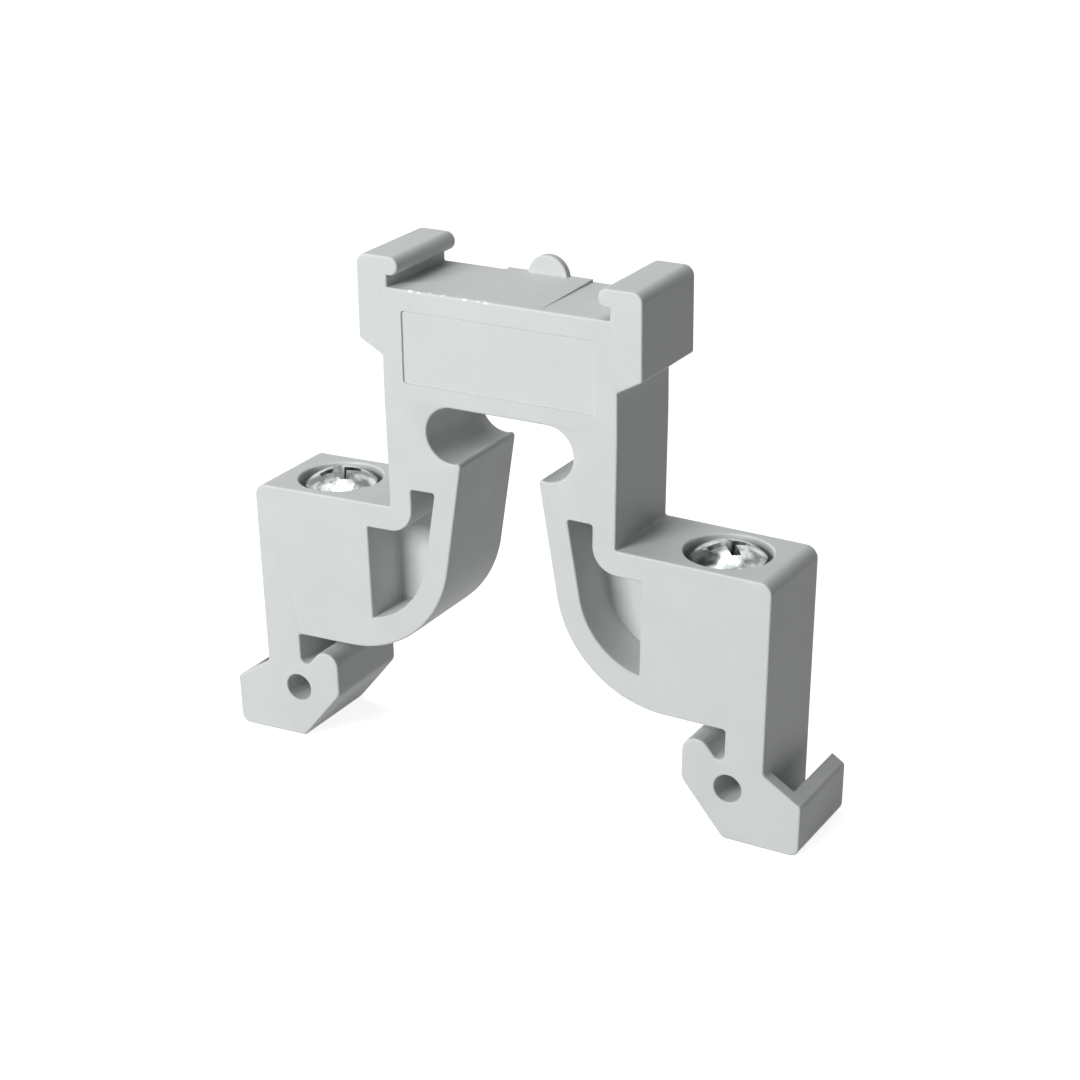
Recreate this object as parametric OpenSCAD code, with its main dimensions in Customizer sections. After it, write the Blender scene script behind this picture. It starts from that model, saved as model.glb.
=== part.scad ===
// End stop for 35 mm mounting rail: one moulded clip with two clamping screws.
// X runs across the rail, Y along the rail, Z up.
// The origin is the middle of the clip at the level of the rail seats.

/* [Body] */
// Thickness along the rail
body_t = 8.5; // [6:0.1:12]
// How far each leg leans in towards the middle, in degrees
leg_lean = 1.2; // [0:0.1:3]
// Half width over the outer faces of the upper arms
arm_x = 10; // [8:0.1:13]
// Top face of the cross bar
bar_top = 30.05; // [27:0.05:34]

/* [Marker channel] */
// Half width over the two hooks
hook_x = 12; // [11:0.1:14]
// Half distance between the channel walls
channel_x = 9.38; // [8:0.01:10]
// How far each hook lip reaches in over the channel
lip_reach = 0.98; // [0:0.01:2]
// Height of the channel under the lips
channel_h = 0.9; // [0.5:0.05:2]
// Thickness of each lip
lip_t = 1.45; // [1:0.05:2]
// Radius of the end tab on the back edge
tab_r = 1.7; // [1:0.1:3]
// Thickness of the end tab
tab_t = 0.7; // [0.4:0.05:1.2]
// Rise of the ramp in front of the tab
ramp_h = 0.2; // [0:0.05:0.6]
// Length of the ramp across the clip
ramp_w = 7.2; // [4:0.1:10]

/* [Label field] */
// Width of the shallow field on the front
label_w = 16.4; // [10:0.1:18]
// Lower edge of the field
label_z0 = 22.75; // [22:0.05:25]
// Upper edge of the field
label_z1 = 28.4; // [26:0.05:29.5]
// Depth of the field
label_d = 0.15; // [0:0.05:0.4]

/* [Hinge notch] */
// Distance of each notch centre from the middle
notch_x = 4.1; // [3:0.05:5]
// Height of the notch centres
notch_z = 19.12; // [18:0.01:20]
// Radius of the round notch ends
notch_r = 2.22; // [1.5:0.01:2.6]

/* [Clamping block] */
// Outer face of the block and of the stem under it
block_x = 22.75; // [21:0.05:25]
// Top face of the block
block_top = 12.5; // [10:0.1:15]
// Radius under the block towards the middle
heel_r = 9.5; // [6:0.1:10]
// Distance from the middle to the screw axis
screw_x = 17.3; // [15:0.05:19]

/* [Rail slot and foot] */
// End wall of the rail slot
slot_x = 19.5; // [18.5:0.05:21]
// Inner face of the foot
foot_in = 15.97; // [15:0.01:17]
// Outer face of the foot
foot_out = 25.9; // [24:0.05:28]
// Underside of the foot
foot_bot = -9.1; // [-12:0.05:-6]
// Radius of the hook that grips the rail edge
grip_r = 1.18; // [0.8:0.01:1.3]
// Height of the hook peak under the rail seat
grip_drop = 1.3; // [1.1:0.05:2.5]
// Radius of the groove beside the hook
groove_r = 0.5; // [0.3:0.05:0.7]
// Depth of the groove bottom under the rail seat
groove_drop = 2.55; // [2:0.05:3.5]
// Diameter of the cross hole through the foot
hole_d = 2.25; // [1.5:0.05:3]
// Thickness of the web that closes the foot at the front
web_t = 1.1; // [0.8:0.1:2]
// Thickness of the outer lip of the foot
rim_t = 1.05; // [0.8:0.05:2]

/* [Leg pocket] */
// Depth of the pocket from the front
pocket_front = 4.2; // [2:0.1:5]
// Depth of the pocket from the back
pocket_back = 3.1; // [0:0.1:4]
// Wall of the pocket on the block side
pocket_x = 12.22; // [11:0.01:13]

/* [Screws] */
// Diameter of the clamping screws over the thread
screw_d = 2.96; // [2.5:0.01:4]
// Length under the head
screw_len = 10; // [8:0.5:12]
// Diameter of the domed head
head_d = 5.8; // [5:0.1:6.5]
// Height of the straight side of the head
head_side = 1.35; // [0.8:0.05:2]
// Height of the dome on the head
dome_h = 1.05; // [0.6:0.05:1.6]
// Height of the head underside as fitted
head_seat = 10.75; // [8.5:0.05:12]
// Diameter of the pocket the head sinks into
well_d = 6.8; // [6:0.1:7.6]
// Depth of that pocket
well_deep = 4.6; // [3:0.1:6]
// Clearance between screw and bore, on the radius
bore_gap = 0.04; // [0.01:0.01:0.1]

/* [Hidden] */
$fn = 96;
eps = 0.01;
// Rounds stand this much proud, so that they cross the straight sides instead of just touching
proud = 0.003;
half_t = body_t / 2;
hinge = [7.2, 21.05];
notch_top = notch_z + notch_r;
lip_z0 = bar_top + channel_h;
hook_top = lip_z0 + lip_t;
lip_r = lip_t / 2;
knee = foot_in + grip_r;
// Line that runs down off the hook and touches the groove on its other side
grip_c = [foot_in + grip_r, -grip_drop - grip_r];
groove_c = [slot_x - groove_r, -groove_drop + groove_r];
span = norm(groove_c - grip_c);
rise = atan2(groove_c.y - grip_c.y, groove_c.x - grip_c.x);
fall = rise + acos((grip_r + groove_r) / span);
touch = grip_c + grip_r * [cos(fall), sin(fall)];
grip_tip = [foot_in, touch.y + (touch.x - foot_in) / tan(fall)];
groove_tip = [slot_x, touch.y - (slot_x - touch.x) / tan(fall)];

// Turning direction at a corner and the distance from it to where its round starts
function turn(a, b, c) = cross([b.x - a.x, b.y - a.y], [c.x - b.x, c.y - b.y]);
function heading(a, b) = [b.x - a.x, b.y - a.y] / norm([b.x - a.x, b.y - a.y]);
function bend(a, b, c) = acos(-heading(a, b) * heading(b, c));
function setback(a, b, c) = b.z / tan(bend(a, b, c) / 2);
function flat(p) = [p.x, p.y];
function round_c(a, b, c) =
    flat(b) + heading(b, c) * setback(a, b, c)
    + (turn(a, b, c) < 0 ? 1 : -1) * b.z * [heading(b, c).y, -heading(b, c).x];

// The piece of a corner's round that lies outside its chord
module round_piece(a, b, c) {
    start = flat(b) - heading(a, b) * setback(a, b, c);
    end = flat(b) + heading(b, c) * setback(a, b, c);
    centre = round_c(a, b, c);
    intersection() {
        translate(centre) circle(b.z + proud);
        polygon([start, flat(b), end, 0.45 * (start + end) + 0.1 * centre]);
    }
}

// Clockwise outline; every corner is [x, z, radius] and gets a true arc
module rounded(pts) {
    n = len(pts);
    prev = [for (i = [0 : n - 1]) pts[(i + n - 1) % n]];
    next = [for (i = [0 : n - 1]) pts[(i + 1) % n]];
    cut = [for (i = [0 : n - 1])
        each pts[i].z == 0 ? [flat(pts[i])] : [
            flat(pts[i]) - heading(prev[i], pts[i]) * setback(prev[i], pts[i], next[i]),
            flat(pts[i]) + heading(pts[i], next[i]) * setback(prev[i], pts[i], next[i])
        ]];
    difference() {
        union() {
            polygon(cut);
            for (i = [0 : n - 1])
                if (pts[i].z > 0 && turn(prev[i], pts[i], next[i]) < 0)
                    round_piece(prev[i], pts[i], next[i]);
        }
        for (i = [0 : n - 1])
            if (pts[i].z > 0 && turn(prev[i], pts[i], next[i]) > 0)
                round_piece(prev[i], pts[i], next[i]);
    }
}

// Places a right-hand leg drawing at its lean
module leaned() {
    translate(hinge) rotate(-leg_lean) translate(-hinge) children();
}

// Leg with block, stem and foot, without its pocket and bores
module leg_outline() {
    rounded([
        [arm_x, notch_top + 0.4, 0],
        [arm_x, block_top, 0.2],
        [block_x, block_top, 1],
        [block_x, -3, 0.5],
        [foot_out, -4.9, 0.4],
        [foot_out, foot_bot, 0.8],
        [19.6, foot_bot, 0.5],
        [foot_in, -4.85, 1],
        [grip_tip.x, grip_tip.y, grip_r],
        [groove_tip.x, groove_tip.y, groove_r],
        [slot_x, 0, 0.25],
        [6.49, 0, heel_r],
        [3.44, notch_z - notch_r, 0.3],
        [notch_x, notch_z - notch_r, 0],
        [notch_x, notch_top + 0.4, 0]
    ]);
}

// Curved pocket between the leg and the block
module pocket_outline() {
    intersection() {
        rounded([
            [5.93, 14.17, 0.2],
            [8.05, 14.17, 0.25],
            [8.05, 10.48, 2.03],
            [15, 10.48, 0],
            [15, 2.63, 0],
            [8.065, 2.63, 6.5]
        ]);
        translate([0, 0]) square([pocket_x, 20]);
    }
}

// Right half of the bar with its hook
module top_outline() {
    rounded([
        [-eps, bar_top, 0],
        [channel_x, bar_top, 0.12],
        [channel_x, lip_z0, 0],
        [channel_x - lip_reach, lip_z0, lip_r - 0.005],
        [channel_x - lip_reach, hook_top, lip_r - 0.005],
        [hook_x, hook_top, 0.8],
        [hook_x, 25.8, 0.25],
        [arm_x, 24.7, 0.15],
        [arm_x, notch_top, 0],
        [-eps, notch_top, 0]
    ]);
}

// Right half of the clip seen from the front
module half_outline() {
    difference() {
        union() {
            top_outline();
            leaned() leg_outline();
        }
        translate([arm_x, hinge.y - 0.2]) square(1);
        translate([notch_x, notch_z]) circle(notch_r + proud);
    }
}

// Turns a front-view drawing into a slab from y0 to y1
module slab(y0, y1) {
    translate([0, y1, 0]) rotate([90, 0, 0]) linear_extrude(y1 - y0) children();
}

// Pockets, hole and screw bore of the right leg, at its lean
module leg_cuts() {
    slab(-half_t - eps, -half_t + pocket_front) leaned() pocket_outline();
    slab(half_t - pocket_back, half_t + eps) leaned() pocket_outline();
    slab(-half_t + web_t, half_t + eps) leaned() rounded([
        [block_x, 0, 0],
        [foot_out - rim_t, 0, 0],
        [foot_out - rim_t, foot_bot + 1.1, 0.5],
        [block_x, foot_bot + 1.1, 0.5]
    ]);
    slab(-half_t - eps, half_t + eps) leaned() translate([19.88, -4.82]) circle(d = hole_d);
    on_screw_axis() {
        translate([0, 0, -1]) cylinder(d = screw_d + 2 * bore_gap, h = block_top);
        translate([0, 0, block_top - well_deep]) cylinder(d = well_d, h = well_deep + 1);
    }
}

// Puts an upright drawing on the leaning axis of the right screw
module on_screw_axis() {
    translate([hinge.x, 0, hinge.y]) rotate([0, leg_lean, 0])
        translate([screw_x - hinge.x, 0, -hinge.y]) children();
}

module half_body() {
    difference() {
        slab(-half_t, half_t) half_outline();
        leg_cuts();
    }
}

module body() {
    color([0.80, 0.82, 0.81]) difference() {
        union() {
            half_body();
            mirror([1, 0, 0]) half_body();
            slab(half_t - tab_t, half_t) intersection() {
                translate([0, bar_top]) circle(tab_r);
                translate([-tab_r, bar_top - 0.2]) square([2 * tab_r, tab_r + 0.2]);
            }
            translate([-ramp_w / 2, 0, bar_top]) rotate([90, 0, 90]) linear_extrude(ramp_w)
                polygon([[-half_t, -0.1], [half_t, -0.1], [half_t, ramp_h], [-half_t, 0]]);
        }
        translate([-label_w / 2, -half_t - 1, label_z0])
            cube([label_w, 1 + label_d, label_z1 - label_z0]);
    }
}

// One clamping screw upright, head underside at zero
module screw() {
    ball = (pow(head_d / 2, 2) + pow(dome_h, 2)) / (2 * dome_h);
    top = head_side + dome_h;
    color([0.86, 0.87, 0.88]) difference() {
        union() {
            translate([0, 0, -screw_len]) cylinder(d1 = screw_d - 0.7, d2 = screw_d, h = 0.35);
            translate([0, 0, 0.35 - screw_len]) cylinder(d = screw_d, h = screw_len);
            cylinder(d = head_d, h = head_side);
            intersection() {
                translate([0, 0, top - ball]) sphere(ball);
                translate([0, 0, head_side - 0.1]) cylinder(d = head_d, h = dome_h + 1);
            }
        }
        for (a = [45, 135]) rotate([0, 0, a]) intersection() {
            translate([-2, -0.35, top - 1.5]) cube([4, 0.7, 2]);
            translate([0, 0, top - 1.5]) cylinder(r1 = 0.7, r2 = 1.9, h = 1.6);
        }
    }
}

module screw_right() {
    on_screw_axis() translate([0, 0, head_seat]) screw();
}

module screw_left() {
    mirror([1, 0, 0]) screw_right();
}

body();
screw_left();
screw_right();
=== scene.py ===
import math

import bmesh
import bpy
from mathutils import Matrix, Vector


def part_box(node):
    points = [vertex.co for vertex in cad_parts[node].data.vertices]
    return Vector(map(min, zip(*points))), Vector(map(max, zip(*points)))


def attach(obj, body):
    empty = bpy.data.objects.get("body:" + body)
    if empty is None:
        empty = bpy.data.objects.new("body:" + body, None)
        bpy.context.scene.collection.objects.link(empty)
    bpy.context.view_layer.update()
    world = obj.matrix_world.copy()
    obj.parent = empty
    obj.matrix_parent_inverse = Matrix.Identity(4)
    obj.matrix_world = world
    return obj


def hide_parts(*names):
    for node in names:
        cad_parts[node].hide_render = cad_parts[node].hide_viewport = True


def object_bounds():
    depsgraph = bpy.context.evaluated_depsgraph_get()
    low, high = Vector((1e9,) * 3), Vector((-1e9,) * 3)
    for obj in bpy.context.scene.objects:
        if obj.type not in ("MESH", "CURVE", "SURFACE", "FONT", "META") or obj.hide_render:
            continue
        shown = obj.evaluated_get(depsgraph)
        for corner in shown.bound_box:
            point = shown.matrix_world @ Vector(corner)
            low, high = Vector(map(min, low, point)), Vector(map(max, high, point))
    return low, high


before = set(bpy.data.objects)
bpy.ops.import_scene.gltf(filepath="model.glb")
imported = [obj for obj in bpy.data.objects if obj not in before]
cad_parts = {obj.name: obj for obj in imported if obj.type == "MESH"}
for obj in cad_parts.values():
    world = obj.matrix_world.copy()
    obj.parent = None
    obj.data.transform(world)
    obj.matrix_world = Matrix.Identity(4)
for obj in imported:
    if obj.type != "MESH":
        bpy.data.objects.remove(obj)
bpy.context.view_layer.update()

# ---------------------------------------------------------------------------
# Moulded clip
# One injection moulding in light grey polyamide: cross bar, two legs
# with clamping blocks, and two feet. The mould leaves a small round on every
# edge, and its cores leave the pockets, the wells and the cross holes.
# ---------------------------------------------------------------------------

# The mesh work is in millimetres, and the front face looks along -Y
MM = 0.001
body_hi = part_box("body")[1] / MM
half_t = body_hi.y
leg_lean = math.radians(1.2)
hinge = (7.2, 21.05)
edge_r = 0.16

# Cross bar, with the marker channel between its two hooks
arm_x, arm_z = 10.0, 24.7
bar_top = 30.05
hook_x, hook_z, hook_top = 12.0, 25.8, body_hi.z
channel_x = 9.38
lip_reach = 0.98
lip_z0 = bar_top + 0.9
lip_r = (hook_top - lip_z0) / 2 - 0.005

# Round hinge notch, and the leg that curves down from it to the block
notch, notch_r = (4.1, 19.12), 2.22
notch_bottom = notch[1] - notch_r
leg_in = 3.44
heel_x, heel_r = 6.49, 9.5

# Block, stem and foot; the rail's edge sits in the slot between block and foot
block_x, block_top = 22.75, 12.5
shoulder_z, rim_z = -3.0, -4.9
foot_in, foot_out, foot_bot = 15.97, 25.9, -9.1
slope_x, slope_z = 19.6, -4.85
slot_x = 19.5
grip_r, grip_drop = 1.18, 1.3
groove_r, groove_drop = 0.5, 2.55


def tangent_corners():
    """Heights of both ends of the flank that runs off the rail grip into the groove beside it."""
    grip = Vector((foot_in + grip_r, -grip_drop - grip_r))
    groove = Vector((slot_x - groove_r, -groove_drop + groove_r))
    way = groove - grip
    fall = math.atan2(way.y, way.x) + math.acos((grip_r + groove_r) / way.length)
    touch = grip + grip_r * Vector((math.cos(fall), math.sin(fall)))
    slope = 1 / math.tan(fall)
    return touch.y + (touch.x - foot_in) * slope, touch.y - (slot_x - touch.x) * slope


def rounded(corners, closed=True):
    """Outline through corners (x, z, radius), with each radius drawn as an arc."""
    count = len(corners)
    points = []
    for i, (x, z, radius) in enumerate(corners):
        here = Vector((x, z))
        if radius == 0 or (not closed and i in (0, count - 1)):
            points.append(here)
            continue
        before = (Vector(corners[i - 1][:2]) - here).normalized()
        after = (Vector(corners[(i + 1) % count][:2]) - here).normalized()
        half = before.angle(after) / 2
        centre = here + (before + after).normalized() * (radius / math.sin(half))
        start = here + before * (radius / math.tan(half)) - centre
        sweep = start.angle_signed(here + after * (radius / math.tan(half)) - centre)
        steps = max(3, math.ceil(abs(sweep) / math.radians(3 if radius > 3 else 8)))
        for k in range(steps + 1):
            points.append(centre + Matrix.Rotation(-sweep * k / steps, 2) @ start)
    return points


def leaned(points):
    """The same points with the leg swung in about its hinge."""
    turn = Matrix.Rotation(-leg_lean, 2)
    return [Vector(hinge) + turn @ (Vector(p) - Vector(hinge)) for p in points]


def arc(centre, radius, start, end, steps):
    """Points from one angle to another in degrees, both ends included."""
    angles = [math.radians(start + (end - start) * k / steps) for k in range(steps + 1)]
    return [Vector(centre) + radius * Vector((math.cos(a), math.sin(a))) for a in angles]


def clip_outline():
    """Front view of the whole clip, clockwise from the right-hand end of the bar's top."""
    grip_z, groove_z = tangent_corners()
    top = rounded(
        [
            (0, bar_top, 0),
            (channel_x, bar_top, 0.12),
            (channel_x, lip_z0, 0),
            (channel_x - lip_reach, lip_z0, lip_r),
            (channel_x - lip_reach, hook_top, lip_r),
            (hook_x, hook_top, 0.8),
            (hook_x, hook_z, 0.25),
            (arm_x, arm_z, 0.15),
            (arm_x, hinge[1], 0),
        ],
        closed=False,
    )
    leg = rounded(
        [
            (arm_x, hinge[1], 0),
            (arm_x, block_top, 0.2),
            (block_x, block_top, 1),
            (block_x, shoulder_z, 0.5),
            (foot_out, rim_z, 0.4),
            (foot_out, foot_bot, 0.8),
            (slope_x, foot_bot, 0.5),
            (foot_in, slope_z, 1),
            (foot_in, grip_z, grip_r),
            (slot_x, groove_z, groove_r),
            (slot_x, 0, 0.25),
            (heel_x, 0, heel_r),
            (leg_in, notch_bottom, 0.3),
            (notch[0] - 0.5, notch_bottom, 0),
        ],
        closed=False,
    )
    half = top[1:-1] + leaned(leg[:-1]) + arc(notch, notch_r, -97, 90, 40)
    return half + [Vector((-p.x, p.y)) for p in reversed(half)]


def inset(points, distance):
    """A closed clockwise outline moved inwards by a distance."""
    moved = []
    for i, here in enumerate(points):
        before = (here - points[i - 1]).normalized()
        after = (points[(i + 1) % len(points)] - here).normalized()
        side = Vector((before.y, -before.x)) + Vector((after.y, -after.x))
        moved.append(here + side * (distance / max(0.3, 1 + before.dot(after))))
    return moved


def layers(outline, depths):
    """Rings of one front-view outline at depths (y, distance that it is moved inwards there)."""
    return [[(p.x, y, p.y) for p in inset(outline, way)] for y, way in depths]


def skin(mesh, loops):
    """Faces between each loop of vertices and the next."""
    for lower, upper in zip(loops, loops[1:]):
        for i in range(len(lower)):
            j = (i + 1) % len(lower)
            mesh.faces.new((lower[i], lower[j], upper[j], upper[i]))


def add_rings(mesh, rings):
    """Skins a stack of like rings and closes both ends."""
    loops = [[mesh.verts.new(p) for p in ring] for ring in rings]
    skin(mesh, loops)
    mesh.faces.new(reversed(loops[0]))
    mesh.faces.new(loops[-1])


def add_plate(mesh, outline, y0, y1, radius, steps=4):
    """A plate cut to a front-view outline, with both faces' edges rounded."""
    quarter = [math.pi / 2 * k / steps for k in range(steps + 1)]
    edge = [(radius * (1 - math.cos(a)), radius * (1 - math.sin(a))) for a in quarter]
    front = [(y0 + deep, way) for deep, way in edge]
    back = [(y1 - deep, way) for deep, way in reversed(edge)]
    add_rings(mesh, layers(outline, front + back))


def add_core(mesh, outline, mouth, depth, rim, foot=0.1, steps=4):
    """The core that forms a pocket: flared at its mouth and rounded at its far end."""
    into = 1 if mouth < 0 else -1
    depths = [(mouth - into * 0.4, -rim * 1.6)]
    for k in range(1, steps + 1):
        a = math.pi / 2 * k / steps
        depths.append((mouth + into * rim * (1 - math.cos(a)), -rim * (1 - math.sin(a))))
    for k in range(steps + 1):
        a = math.pi / 2 * k / steps
        depths.append((mouth + into * (depth - foot * (1 - math.sin(a))), foot * (1 - math.cos(a))))
    add_rings(mesh, layers(outline, depths[::into]))


def add_turned(mesh, profile, place, around=64):
    """A solid of revolution from a profile (radius, height) that starts and ends on its axis."""
    angles = [math.tau * k / around for k in range(around)]
    loops = []
    for radius, height in profile[1:-1]:
        ring = [(radius * math.cos(a), radius * math.sin(a), height) for a in angles]
        loops.append([mesh.verts.new(place @ Vector(p)) for p in ring])
    skin(mesh, loops)
    ends = ((loops[0], profile[0][1], True), (loops[-1], profile[-1][1], False))
    for loop, height, under in ends:
        tip = mesh.verts.new(place @ Vector((0, 0, height)))
        for i in range(around):
            a, b = loop[i], loop[(i + 1) % around]
            mesh.faces.new((b, a, tip) if under else (a, b, tip))


def part_flats(mesh, facing, levels):
    """Divides the flats at levels, so that every core crosses a boundary and meshes cleanly."""
    for level in levels:
        everything = mesh.verts[:] + mesh.edges[:] + mesh.faces[:]
        place = Vector(facing) * level
        bmesh.ops.bisect_plane(mesh, geom=everything, dist=1e-5, plane_co=place, plane_no=facing)


def as_object(mesh, name):
    """Turns finished mesh work into an object in the scene."""
    bmesh.ops.recalc_face_normals(mesh, faces=mesh.faces)
    data = bpy.data.meshes.new(name)
    mesh.to_mesh(data)
    mesh.free()
    piece = bpy.data.objects.new(name, data)
    bpy.context.scene.collection.objects.link(piece)
    return piece


def combine(piece, tool, operation):
    """Adds or cuts a tool and leaves one plain mesh behind."""
    step = piece.modifiers.new(operation.lower(), "BOOLEAN")
    step.operation, step.object, step.solver = operation, tool, "MANIFOLD"
    bpy.context.view_layer.update()
    done = piece.evaluated_get(bpy.context.evaluated_depsgraph_get())
    data = bpy.data.meshes.new_from_object(done)
    piece.modifiers.clear()
    piece.data = data
    bpy.data.objects.remove(tool)


def finish_mesh(piece, sharp=35):
    """Brings millimetre work to metres, and shades the rounds smooth while flats stay flat."""
    mesh = bmesh.new()
    mesh.from_mesh(piece.data)
    large = [face for face in mesh.faces if len(face.verts) > 4]
    bmesh.ops.triangulate(mesh, faces=large, ngon_method="EAR_CLIP")
    mesh.to_mesh(piece.data)
    mesh.free()
    piece.data.transform(Matrix.Scale(MM, 4))
    for face in piece.data.polygons:
        face.use_smooth = True
    piece.data.set_sharp_from_angle(angle=math.radians(sharp))
    even = piece.modifiers.new("even shading", "WEIGHTED_NORMAL")
    even.mode, even.weight, even.keep_sharp = "FACE_AREA", 50, True


work = bmesh.new()
add_plate(work, clip_outline(), -half_t, half_t, edge_r)
part_flats(work, (0, 0, 1), (8, -5.1, 25.5, 21.6))
part_flats(work, (1, 0, 0), (0, 9, -9, 17, -17))
part_flats(work, (0, 1, 0), (0,))
clip = as_object(work, "moulded_clip")

# End tab, whose back stays a hair inside the bar's back so that the two share no plane
tab_r, tab_t, tab_edge_r = 1.7, 0.7, 0.12
sunk = 0.3
tab_root = [Vector((tab_r, bar_top - sunk)), Vector((-tab_r, bar_top - sunk))]
work = bmesh.new()
tab = tab_root + arc((0, bar_top), tab_r, 180, 0, 40)
add_plate(work, tab, half_t - tab_t, half_t - 0.01, tab_edge_r)
combine(clip, as_object(work, "tab"), "UNION")

# Shallow ramp in front of the tab, which lifts and stops a marker
ramp_h, ramp_w = 0.2, 7.2
ramp_front, ramp_back = -half_t + edge_r, half_t - 0.13
ramp = [
    (ramp_front, bar_top - sunk),
    (ramp_back, bar_top - sunk),
    (ramp_back, bar_top + ramp_h),
    (ramp_front, bar_top + 0.004),
]
work = bmesh.new()
add_rings(work, [[(x, y, z) for y, z in ramp] for x in (-ramp_w / 2, ramp_w / 2)])
combine(clip, as_object(work, "ramp"), "UNION")

# Cores: leg pockets from both faces, cross holes, and screw wells with their bores
pocket_in, pocket_out = 8.05, 12.22
pocket_bottom, pocket_step, pocket_top = 2.95, 10.48, 14.17
pocket_front, pocket_back = 4.2, 3.1
hole, hole_r, hole_rim = (19.88, -4.82), 1.125, 0.12
screw_x = 17.3
well_r, well_floor, well_corner = 3.4, 7.9, 0.15
bore_r = 1.52
core_rim = 0.14


def mirrored(points, side):
    """The outline on the given side, still clockwise."""
    return points if side > 0 else [Vector((-p.x, p.y)) for p in reversed(points)]


def leg_pocket(side):
    """One leg's pocket, which a curved wall closes towards the middle and below."""
    straight = rounded(
        [
            (7.1, 7.95, 0),
            (5.93, pocket_top, 0.2),
            (pocket_in, pocket_top, 0.25),
            (pocket_in, pocket_step, 2.03),
            (pocket_out, pocket_step, 0.12),
            (pocket_out, pocket_bottom, 0),
        ],
        closed=False,
    )
    return mirrored(leaned(straight + arc((13.49, 9.13), 6.5, -101.6, -169, 24)), side)


def add_cross_hole(mesh, side):
    """The pin that forms the hole through a foot, flared where it meets both faces."""
    circle = mirrored(leaned(arc(hole, hole_r, 352.5, 0, 47)), side)
    front = [(-half_t - 0.4, -0.4)]
    for k in range(1, 5):
        a = math.pi / 8 * k
        front.append((-half_t + hole_rim * (1 - math.cos(a)), -hole_rim * (1 - math.sin(a))))
    back = [(-y, way) for y, way in reversed(front)]
    add_rings(mesh, layers(circle, front + back))


def well_profile(steps=5):
    """Half section of a bore and the well above it, with the well's mouth flared."""
    profile = [(0, -1), (bore_r, -1), (bore_r, well_floor)]
    profile += [(well_r - well_corner, well_floor), (well_r, well_floor + well_corner)]
    for k in range(steps):
        a = math.pi / 2 * k / steps
        out, down = core_rim * (1 - math.cos(a)), core_rim * (1 - math.sin(a))
        profile.append((well_r + out, block_top - down))
    return profile + [(well_r + 0.5, block_top + 0.3), (0, block_top + 0.3)]


def screw_axis(side):
    """Upright work placed on the leaning axis of one clamping screw."""
    place = Matrix.Translation((hinge[0], 0, hinge[1])) @ Matrix.Rotation(leg_lean, 4, "Y")
    place = place @ Matrix.Translation((screw_x - hinge[0], 0, -hinge[1]))
    return Matrix.Scale(-1, 4, (1, 0, 0)) @ place if side < 0 else place


work = bmesh.new()
for side in (1, -1):
    add_core(work, leg_pocket(side), -half_t, pocket_front, core_rim)
    add_core(work, leg_pocket(side), half_t, pocket_back, core_rim)
    add_cross_hole(work, side)
    add_turned(work, well_profile(), screw_axis(side))
combine(clip, as_object(work, "cores"), "DIFFERENCE")

# Cavity between each stem and its foot's outer lip, with a web left across its front
cavity_in, cavity_out, cavity_bottom = block_x - 0.005, 24.85, foot_bot + 1.1
web = -half_t + 1.1
web_side = [(web, 0.1), (web + 0.03, 0.03), (web + 0.1, 0)]
open_side = [(half_t - 0.12, 0), (half_t - 0.03, -0.035), (half_t + 0.3, -0.3)]
cavity = rounded(
    [
        (cavity_in, 0, 0),
        (cavity_out, 0, 0),
        (cavity_out, cavity_bottom, 0.5),
        (cavity_in, cavity_bottom, 0.5),
    ]
)
work = bmesh.new()
for side in (1, -1):
    add_rings(work, layers(mirrored(leaned(cavity), side), web_side + open_side))
combine(clip, as_object(work, "cavities"), "DIFFERENCE")

# Shallow label field on the front face
label_x, label_z0, label_z1, label_d = 8.2, 22.75, 28.4, 0.15
label_corner, label_rim = 0.25, 0.05
field = [(-label_x, label_z1), (label_x, label_z1), (label_x, label_z0), (-label_x, label_z0)]
field = rounded([(x, z, label_corner) for x, z in field])
work = bmesh.new()
add_core(work, field, -half_t, label_d, label_rim, foot=label_rim, steps=3)
combine(clip, as_object(work, "label"), "DIFFERENCE")
finish_mesh(clip)


def linear(code):
    """An sRGB hex colour as the linear values that shaders use."""
    parts = [int(code[i : i + 2], 16) / 255 for i in (1, 3, 5)]
    return tuple(c / 12.92 if c <= 0.04045 else ((c + 0.055) / 1.055) ** 2.4 for c in parts) + (1,)


def add_node(tree, kind, links=(), **settings):
    """One shader node, with its settings and the sockets that feed it."""
    made = tree.nodes.new(kind)
    for name, value in settings.items():
        if name.startswith("in_"):
            made.inputs[name[3:].replace("_", " ")].default_value = value
        else:
            setattr(made, name, value)
    for socket, source in links:
        tree.links.new(source, made.inputs[socket])
    return made


def new_material(name):
    """An empty node material with its principled shader wired to the output."""
    made = bpy.data.materials.new(name)
    made.use_nodes = True
    made.node_tree.nodes.clear()
    shader = add_node(made.node_tree, "ShaderNodeBsdfPrincipled")
    add_node(made.node_tree, "ShaderNodeOutputMaterial", [("Surface", shader.outputs["BSDF"])])
    return made, made.node_tree, shader


def two_tone(tree, mask, low, high):
    """A ramp between two colours (position, sRGB hex), driven by a mask."""
    tint = add_node(tree, "ShaderNodeValToRGB", [("Fac", mask)])
    for stop, (position, code) in zip(tint.color_ramp.elements, (low, high)):
        stop.position, stop.color = position, linear(code)
    return tint.outputs["Color"]


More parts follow.
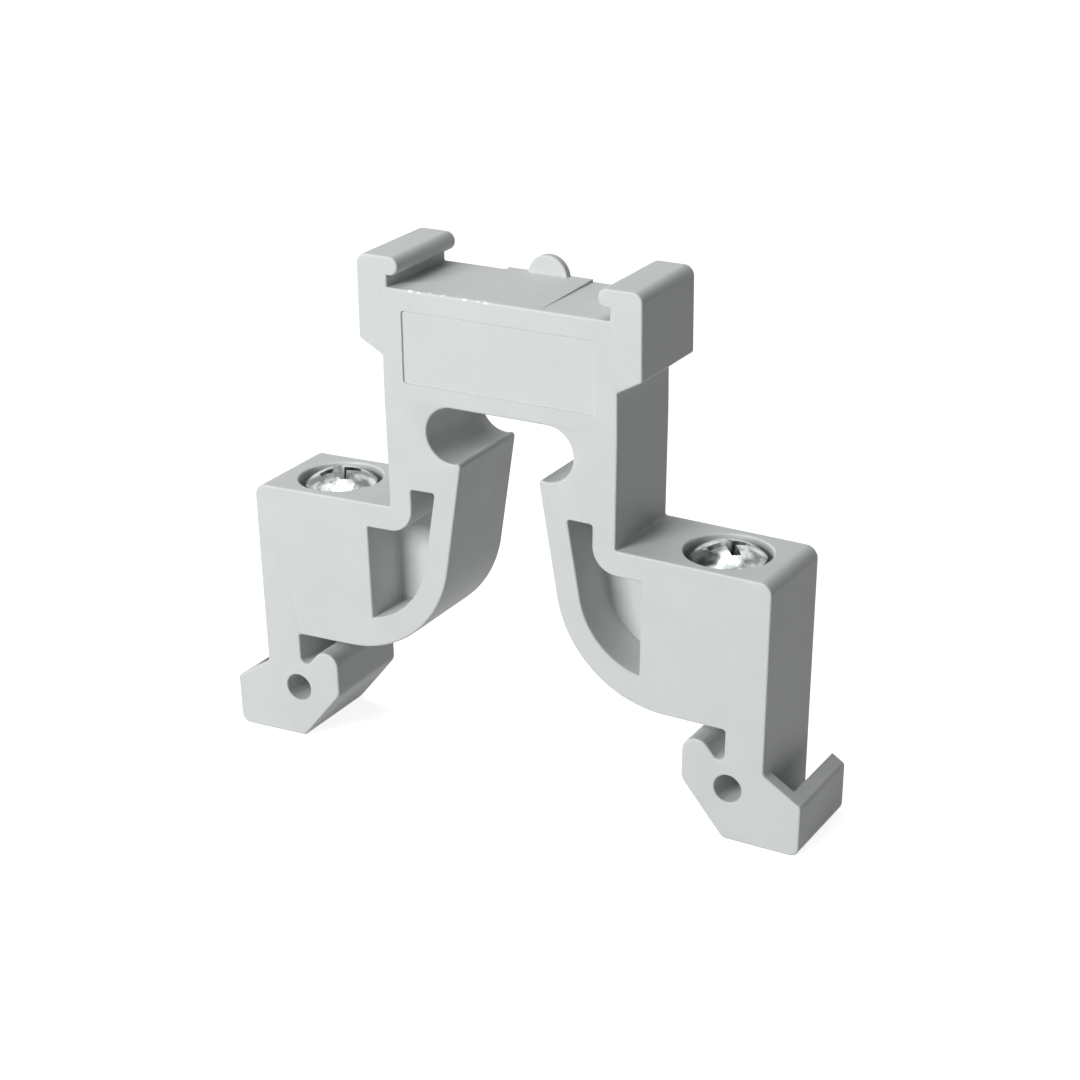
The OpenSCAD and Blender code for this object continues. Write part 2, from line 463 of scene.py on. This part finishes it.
def torn_flash(tree, where):
    """A mask of specks, two in a millimetre, along the front edge of the bar's top."""
    links = [("Vector", where)]
    specks = add_node(tree, "ShaderNodeTexNoise", links, in_Scale=1.7 / MM, in_Detail=3.0)
    mask = add_node(tree, "ShaderNodeMath", [(0, specks.outputs["Fac"])], operation="GREATER_THAN")
    mask.inputs[1].default_value = 0.57
    spot = add_node(tree, "ShaderNodeSeparateXYZ", links)
    for axis, centre, reach in (("X", -4.0, 4.2), ("Y", -4.18, 0.22), ("Z", 30.03, 0.11)):
        off = add_node(tree, "ShaderNodeMath", [(0, spot.outputs[axis])], operation="SUBTRACT")
        off.inputs[1].default_value = centre * MM
        size = add_node(tree, "ShaderNodeMath", [(0, off.outputs[0])], operation="ABSOLUTE")
        near = add_node(tree, "ShaderNodeMath", [(0, size.outputs[0])], operation="LESS_THAN")
        near.inputs[1].default_value = reach * MM
        both = [(0, mask.outputs[0]), (1, near.outputs[0])]
        mask = add_node(tree, "ShaderNodeMath", both, operation="MULTIPLY")
    return mask.outputs[0]


def moulded_polyamide():
    """Polyamide from an eroded mould: a dull sheen over a fine, even grain."""
    made, tree, shader = new_material("moulded_polyamide")
    where = add_node(tree, "ShaderNodeTexCoord").outputs["Object"]
    links = [("Vector", where)]
    # Faint clouding of the pigment, one cloud in 3 mm
    cloud = add_node(tree, "ShaderNodeTexNoise", links, in_Scale=0.33 / MM, in_Detail=3.0)
    pigment = two_tone(tree, cloud.outputs["Fac"], (0.35, "#C7CBCA"), (0.65, "#CACECC"))
    # Pale torn flash on the edge
    flash = add_node(tree, "ShaderNodeMix", [(0, torn_flash(tree, where)), (6, pigment)], data_type="RGBA")
    flash.inputs[7].default_value = linear("#F6F8F7")
    tree.links.new(flash.outputs[2], shader.inputs["Base Color"])
    # Erosion grain, 4.5 in a millimetre; it is usually nearer 20, which is too fine to show
    grain = add_node(tree, "ShaderNodeTexNoise", links, in_Scale=4.5 / MM, in_Detail=3.0)
    height = [("Height", grain.outputs["Fac"])]
    bump = add_node(tree, "ShaderNodeBump", height, in_Strength=0.6, in_Distance=0.03 * MM)
    tree.links.new(bump.outputs["Normal"], shader.inputs["Normal"])
    shader.inputs["Roughness"].default_value = 0.55
    shader.inputs["IOR"].default_value = 1.53
    return made


clip.data.materials.clear()
clip.data.materials.append(moulded_polyamide())
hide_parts("body")
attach(clip, "clip")

# ---------------------------------------------------------------------------
# Clamping screws
# Two M3 by 10 pan head screws with a cross recess, cold headed from steel wire
# and zinc plated. They cut their own thread in the blocks' bores and press on
# the rail's edges.
# ---------------------------------------------------------------------------

head_r, head_side, dome_h = 2.9, 1.35, 1.05
head_top = head_side + dome_h
head_seat = 10.75
thread_r, root_r, pitch, shank = 1.48, 1.19, 0.5, 10.0
# The recess's wings as (height, half length, half width), at the bottom and above the head
wing_foot = (head_top - 1.45, 0.75, 0.26)
wing_mouth = (head_top + 0.2, 2.05, 0.42)


def screw_head(steps=25):
    """Head profile from the underside up: rounded rim, short side and shallow dome."""
    ball = (head_r**2 + dome_h**2) / (2 * dome_h)
    profile = [(0, 0), (1.3, 0), (head_r - 0.12, 0), (head_r - 0.03, 0.03), (head_r, 0.12)]
    centre = head_top - ball
    start = math.atan2(head_side - centre, head_r)
    for k in range(steps):
        a = start + (math.pi / 2 - start) * k / steps
        profile.append((ball * math.cos(a), centre + ball * math.sin(a)))
    return profile + [(0, head_top)]


def add_wings(mesh, place, turn):
    """Punch for one pair of the cross recess's wings, which taper towards the bottom."""
    place = place @ Matrix.Rotation(math.radians(turn), 4, "Z")
    rings = []
    for z, length, width in (wing_foot, wing_mouth):
        corners = ((length, -width), (length, width), (-length, width), (-length, -width))
        rings.append([place @ Vector((x, y, z)) for x, y in corners])
    add_rings(mesh, rings)


def add_thread(mesh, place, around=32, per_pitch=8):
    """Threaded shank: the radius rises and falls once in each pitch as it winds up."""
    rows = int(shank / pitch * per_pitch)
    rings = []
    for row in range(rows + 1):
        z = -shank + shank * row / rows
        fade = min(1, (z + shank) / 0.35, max(0, -z) / 0.3)
        ring = []
        for k in range(around):
            wave = abs(((z / pitch - k / around) % 1) * 2 - 1)
            radius = root_r + (thread_r - root_r) * min(1, wave * 1.25) * fade
            a = math.tau * k / around
            ring.append(place @ Vector((radius * math.cos(a), radius * math.sin(a), z)))
        rings.append(ring)
    add_rings(mesh, rings)


def zinc_with_painted_reflections():
    """Bright zinc on cold-headed steel: silvery, with grey and bright patches in its colour that are
    partly the plate's own clouding and partly painted reflections, and soft waves.
    """
    made, tree, shader = new_material("zinc_with_painted_reflections")
    links = [("Vector", add_node(tree, "ShaderNodeTexCoord").outputs["Object"])]
    shader.inputs["Metallic"].default_value = 1.0
    # Grey and bright patches, one in 1.1 mm: the plate's own clouding, drawn strong as painted reflections
    # of the dark and bright zones that a small head mirrors
    cloud = add_node(tree, "ShaderNodeTexNoise", links, in_Scale=0.9 / MM, in_Detail=4.0)
    # Base colour with painted reflections: the dark and bright patches stand in for what the head mirrors
    plate_and_painted_reflection = two_tone(tree, cloud.outputs["Fac"], (0.4, "#7F8584"), (0.62, "#DCE0DF"))
    tree.links.new(plate_and_painted_reflection, shader.inputs["Base Color"])
    value = [("Value", cloud.outputs["Fac"])]
    dull = add_node(tree, "ShaderNodeMapRange", value, in_To_Min=0.12, in_To_Max=0.28)
    tree.links.new(dull.outputs["Result"], shader.inputs["Roughness"])
    # Shallow waves, 0.6 mm across, which break up the reflections
    wave = add_node(tree, "ShaderNodeTexNoise", links, in_Scale=1.6 / MM, in_Detail=1.0)
    height = [("Height", wave.outputs["Fac"])]
    bump = add_node(tree, "ShaderNodeBump", height, in_Strength=0.35, in_Distance=0.06 * MM)
    tree.links.new(bump.outputs["Normal"], shader.inputs["Normal"])
    return made


# Zinc plate, with reflections painted into its colour
zinc_and_painted_reflections = zinc_with_painted_reflections()
for side, name in ((-1, "left"), (1, "right")):
    place = screw_axis(side) @ Matrix.Translation((0, 0, head_seat))
    work = bmesh.new()
    add_turned(work, screw_head(), place)
    screw = as_object(work, f"pan_head_screw_{name}")
    for turn in (45, 135):
        work = bmesh.new()
        add_wings(work, place, turn)
        combine(screw, as_object(work, "punch"), "DIFFERENCE")
    work = bmesh.new()
    add_thread(work, place)
    combine(screw, as_object(work, "thread"), "UNION")
    finish_mesh(screw, 30)
    screw.data.materials.clear()
    screw.data.materials.append(zinc_and_painted_reflections)
    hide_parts(f"screw_{name}")
    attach(screw, f"{name}_screw")

# ---------------------------------------------------------------------------
# Studio
# A wide sheet of pale paper under the feet, soft boxes in front and above, an
# even white room, and the camera.
# ---------------------------------------------------------------------------

lo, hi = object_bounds()
floor_reach = 3.0


def seen_by(tree, *rays):
    """One where any of these kinds of ray looks, and nought elsewhere."""
    path = add_node(tree, "ShaderNodeLightPath")
    seen = path.outputs[rays[0]]
    for ray in rays[1:]:
        both = [(0, seen), (1, path.outputs[ray])]
        seen = add_node(tree, "ShaderNodeMath", both, operation="MAXIMUM").outputs[0]
    return seen


def pale_floor():
    """Pale paper that shows white to the camera and keeps the clip's soft shadow."""
    made, tree, shader = new_material("pale_floor")
    shader.inputs["Base Color"].default_value = linear("#BEBEBE")
    shader.inputs["Roughness"].default_value = 0.9
    shader.inputs["Specular IOR Level"].default_value = 0.0
    shader.inputs["Emission Color"].default_value = linear("#FFFFFF")
    seen = seen_by(tree, "Is Camera Ray", "Is Glossy Ray")
    lift = add_node(tree, "ShaderNodeMath", [(0, seen)], operation="MULTIPLY")
    lift.inputs[1].default_value = 0.87
    tree.links.new(lift.outputs[0], shader.inputs["Emission Strength"])
    return made


work = bmesh.new()
corners = ((-1, -1), (1, -1), (1, 1), (-1, 1))
work.faces.new([work.verts.new((x * floor_reach, y * floor_reach, lo.z)) for x, y in corners])
floor = as_object(work, "studio_floor")
floor.data.materials.append(pale_floor())


def add_lamp(name, place, aim, width, power):
    """A square soft box that faces its aim."""
    data = bpy.data.lights.new(name, "AREA")
    data.shape, data.size, data.energy = "SQUARE", width, power
    lamp = bpy.data.objects.new(name, data)
    lamp.location = place
    lamp.rotation_euler = (Vector(aim) - Vector(place)).to_track_quat("-Z", "Y").to_euler()
    bpy.context.scene.collection.objects.link(lamp)


middle = (lo + hi) / 2
add_lamp("key", (-0.15, -0.43, 0.20), middle, 0.20, 2.35)
add_lamp("top", (-0.05, 0.05, 0.45), middle, 0.30, 0.78)

# The room lights the clip faintly, and is plain white where it is seen
world = bpy.data.worlds.new("studio")
bpy.context.scene.world = world
world.use_nodes = True
tree = world.node_tree
tree.nodes.clear()
seen = seen_by(tree, "Is Camera Ray", "Is Glossy Ray", "Is Transmission Ray")
paper = linear("#FFFFFF")
room = add_node(tree, "ShaderNodeBackground", in_Color=paper, in_Strength=0.045)
white = add_node(tree, "ShaderNodeBackground", in_Color=paper, in_Strength=1.0)
mixed = add_node(tree, "ShaderNodeMixShader", [(0, seen), (1, room.outputs[0]), (2, white.outputs[0])])
add_node(tree, "ShaderNodeOutputWorld", [("Surface", mixed.outputs[0])])

# Camera: right of the front and a little above it, with a long lens
azimuth, elevation, roll = math.radians(27.92), math.radians(23.79), math.radians(0.16)
distance = 0.1938
aim = Vector((0.0063, 0, 0.0045))
level = math.cos(elevation)
back = Vector((math.sin(azimuth) * level, -math.cos(azimuth) * level, math.sin(elevation)))
upright = (-back).to_track_quat("-Z", "Y")
camera = bpy.data.objects.new("camera", bpy.data.cameras.new("camera"))
camera.location = aim + back * distance
camera.rotation_mode = "QUATERNION"
camera.rotation_quaternion = upright @ Matrix.Rotation(-roll, 4, "Z").to_quaternion()
camera.data.lens = 83.6
camera.data.shift_x, camera.data.shift_y = -0.0556, 0.0741
camera.data.clip_start, camera.data.clip_end = 0.01, 10
bpy.context.scene.collection.objects.link(camera)
bpy.context.scene.camera = camera
bpy.context.scene.view_settings.view_transform = "Standard"
